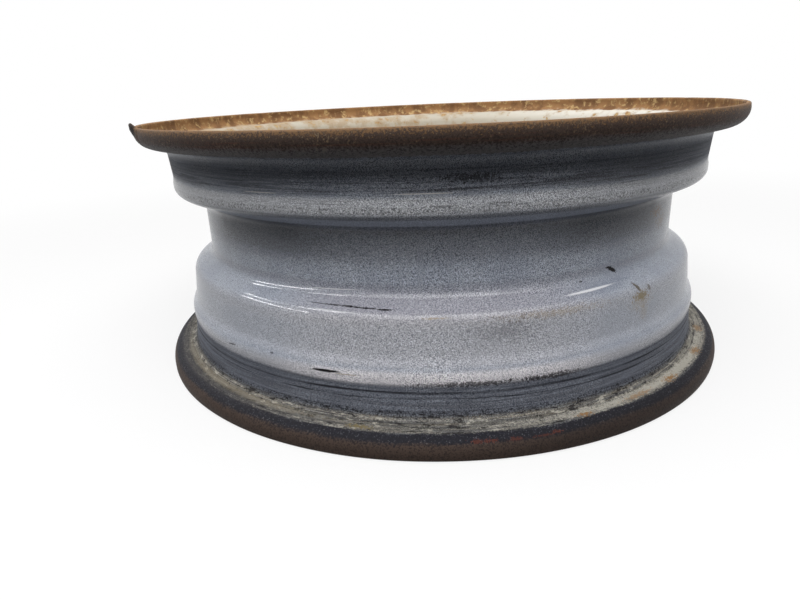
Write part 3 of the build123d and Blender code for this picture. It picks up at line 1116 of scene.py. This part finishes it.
@dataclass(frozen=True)
class WeldSteel:
    """Weld bead under thin paint, with rust in its ripples."""

    steel: Colour = (0.17, 0.165, 0.17)
    rust: Colour = (0.17, 0.075, 0.03)

    def material(self) -> Material:
        """Build the finish."""
        graph = Graph.of_material("weld steel")
        patch = Places(graph).noise(0.25, 3.0, 0.6)
        colour = graph.mix(patch.ramp(0.45, 0.62), self.steel, self.rust)
        return graph.finish(Base_Color=colour, Roughness=0.5 + patch * 0.3)


# Studio and camera


def direction(azimuth: float, elevation: float) -> Vector:
    """Unit vector towards an angle from the front, + to the right, and a height, in degrees."""
    turn, rise = radians(azimuth), radians(elevation)
    return Vector((sin(turn) * cos(rise), -cos(turn) * cos(rise), sin(rise)))


def hang(name: str, size: tuple[float, float], power: float, place: Matrix) -> Object:
    """Hang a rectangular lamp, which shines down its own -Z.

    Args:
        name: The lamp's name.
        size: Its width and height in metres.
        power: Its power in watts.
        place: Where it hangs and how it is turned.

    Returns:
        The lamp's object.
    """
    light = bpy.data.lights.new(name, "AREA")
    light.shape = "RECTANGLE"
    light.size, light.size_y = size
    light.energy = power
    made = linked(name, light)
    made.matrix_world = place
    return made


@dataclass(frozen=True)
class Lamp:
    """One rectangular lamp that looks at the wheel, placed by its angle from the front and its height."""

    name: str
    azimuth: float
    elevation: float
    distance: float
    size: tuple[float, float]
    power: float

    def build(self, target: Vector) -> Object:
        """Hang the lamp so that it faces the target."""
        out = direction(self.azimuth, self.elevation)
        turn = (-out).to_track_quat("-Z", "Y").to_matrix().to_4x4()
        place = Matrix.Translation(target + self.distance * out) @ turn
        return hang(self.name, self.size, self.power, place)


@dataclass(frozen=True)
class Tube:
    """A thin lamp that only shows as a highlight, between two directions.

    Each direction is an angle from the front and a height, in degrees.
    """

    name: str
    start: tuple[float, float]
    end: tuple[float, float]
    power: float
    distance: float = 1.6
    width: float = 0.045

    def build(self, target: Vector) -> Object:
        """Hang the tube along the line between its ends, with its face to the target."""
        first, last = (self.distance * direction(*end) for end in (self.start, self.end))
        middle = (first + last) / 2
        along = (last - first).normalized()
        back = middle.normalized()
        turn = Matrix((along, back.cross(along), back)).transposed().to_4x4()
        place = Matrix.Translation(target + middle) @ turn
        made = hang(self.name, ((last - first).length, self.width), self.power, place)
        made.visible_diffuse = False
        return made


@dataclass
class Studio:
    """A plain pale floor, a white surround and soft light from above.

    The floor glows by the near share and the painted shadow's share within the first radius of
    their reach, in millimetres, and fully beyond the second one. The painted shadow darkens
    the floor under the wheel.
    """

    floor_size: float = 60.0
    floor_z: float = -0.2 * MM
    floor_seen: Colour = (0.9, 0.9, 0.9)
    floor_to_light: Colour = (0.07, 0.07, 0.07)
    glow_near: float = 0.74
    glow_near_reach: tuple[float, float] = (350.0, 1100.0)
    painted_shadow_glow: float = 0.25
    painted_shadow_reach: tuple[float, float] = (150.0, 205.0)
    fill: float = 0.07
    target: tuple[float, float, float] = (0.0, 0.0, 80 * MM)
    lamps: tuple[Lamp | Tube, ...] = (
        Lamp("ceiling softbox", 0.0, 82.0, 1.6, (2.4, 2.0), 25.0),
        Lamp("front softbox", 0.0, 48.0, 1.6, (1.5, 0.9), 13.5),
        Lamp("left softbox", -75.0, 60.0, 1.6, (1.2, 0.8), 4.5),
        Lamp("right softbox", 75.0, 62.0, 1.6, (1.2, 0.8), 2.5),
        Tube("left tube", (-99.0, 28.0), (-56.0, 28.0), 6.5),
        Tube("left tube, higher", (-114.0, 36.0), (-96.0, 43.0), 1.8),
        Tube("left tube, nearer", (-82.0, 49.0), (-58.0, 53.0), 2.0),
    )

    def seen_directly(self, graph: Graph) -> Expr:
        """1 where the camera sees a surface, by itself or in a reflection."""
        rays = graph.node("ShaderNodeLightPath")
        camera, glossy, through = (
            graph.read(rays, f"Is {kind} Ray") for kind in ("Camera", "Glossy", "Transmission")
        )
        return graph.number("MAXIMUM", camera, graph.number("MAXIMUM", glossy, through))

    def floor(self) -> Object:
        """Lay the floor: white to the eye but for the object's shadow and a painted shadow under the
        wheel, grey to the light.
        """
        graph = Graph.of_material("studio floor")
        seen = self.seen_directly(graph)
        radius = Places(graph).radius
        far = radius.ramp(*self.glow_near_reach)
        # Painted shadow: the glow falls to the painted shadow's share under the wheel
        under = radius.ramp(*self.painted_shadow_reach) * (1 - self.painted_shadow_glow) + self.painted_shadow_glow
        share = seen * (far * (1 - self.glow_near) + self.glow_near) * under
        shown = graph.mix(seen, self.floor_to_light, self.floor_seen)
        matt = graph.node("ShaderNodeBsdfDiffuse", Color=shown)
        glow = graph.node("ShaderNodeEmission", Color=(1.0, 1.0, 1.0), Strength=1.0)
        both = graph.node("ShaderNodeMixShader", Fac=share)
        for shader, socket in zip((matt, glow), both.inputs[1:]):
            graph.tree.links.new(shader.outputs[0], socket)
        graph.close(both)
        bpy.ops.mesh.primitive_plane_add(size=self.floor_size, location=(0, 0, self.floor_z))
        made = bpy.context.object
        made.name = "studio_floor"
        made.data.materials.append(graph.material)
        return made

    def surround(self) -> None:
        """Make the world white to the eye and a plain grey to the light."""
        world = bpy.data.worlds.new("studio surround")
        bpy.context.scene.world = world
        world.use_nodes = True
        graph = Graph(world.node_tree)
        strength = self.seen_directly(graph) * (1 - self.fill) + self.fill
        glow = graph.node("ShaderNodeBackground", Color=(1.0, 1.0, 1.0), Strength=strength)
        graph.close(glow, "ShaderNodeOutputWorld")

    def build(self) -> None:
        """Set up the floor, the surround and the lamps."""
        self.floor()
        self.surround()
        for lamp in self.lamps:
            lamp.build(Vector(self.target))


@dataclass(frozen=True)
class PhotoCamera:
    """The camera that the picture was taken with, from the lines of the wheel in it."""

    focal_px: float = 587.47
    image_width: int = 800
    distance: float = 462.71 * MM
    over_crest: float = 13.73 * MM
    crest_z: float = 165.7 * MM
    pitch: float = 0.34053
    yaw: float = -0.06534
    roll: float = -0.04407
    sensor: float = 36.0
    clip: tuple[float, float] = (0.01, 200.0)

    def build(self) -> Object:
        """Place the camera and make it the scene's own."""
        data = bpy.data.cameras.new("photo camera")
        data.sensor_width = self.sensor
        data.lens = self.focal_px * self.sensor / self.image_width
        data.clip_start, data.clip_end = self.clip
        place = Matrix.Translation((0.0, -self.distance, self.crest_z + self.over_crest))
        turns = ((-self.yaw, "Z"), (pi / 2 - self.pitch, "X"), (self.roll, "Z"))
        for angle, axis in turns:
            place = place @ Matrix.Rotation(angle, 4, axis)
        made = linked("photo camera", data)
        made.matrix_world = place
        bpy.context.scene.camera = made
        return made


def dress_disc(paint: Material) -> Object:
    """Give the pressed disc, whose CAD shape stays, its paint."""
    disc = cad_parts["wheel_disc"]
    for place in disc.material_slots:
        place.material = paint
    if not disc.material_slots:
        disc.data.materials.append(paint)
    return disc


def main() -> None:
    """Build the pieces, the studio and the camera."""
    logging.basicConfig(level=logging.INFO)
    bpy.context.scene.view_settings.view_transform = "Standard"
    rim = RolledRim()
    shell = rim.build(RimPaint().material())
    LOG.info("%s: %d faces", shell.name, len(shell.data.polygons))
    for bead in DiscWelds().build(WeldSteel().material(), rim.section):
        LOG.info("%s: %d faces", bead.name, len(bead.data.polygons))
    LOG.info("%s keeps its CAD shape", dress_disc(DiscPaint().material()).name)
    Studio().build()
    PhotoCamera().build()
    bpy.context.view_layer.update()


if __name__ == "__main__":
    main()
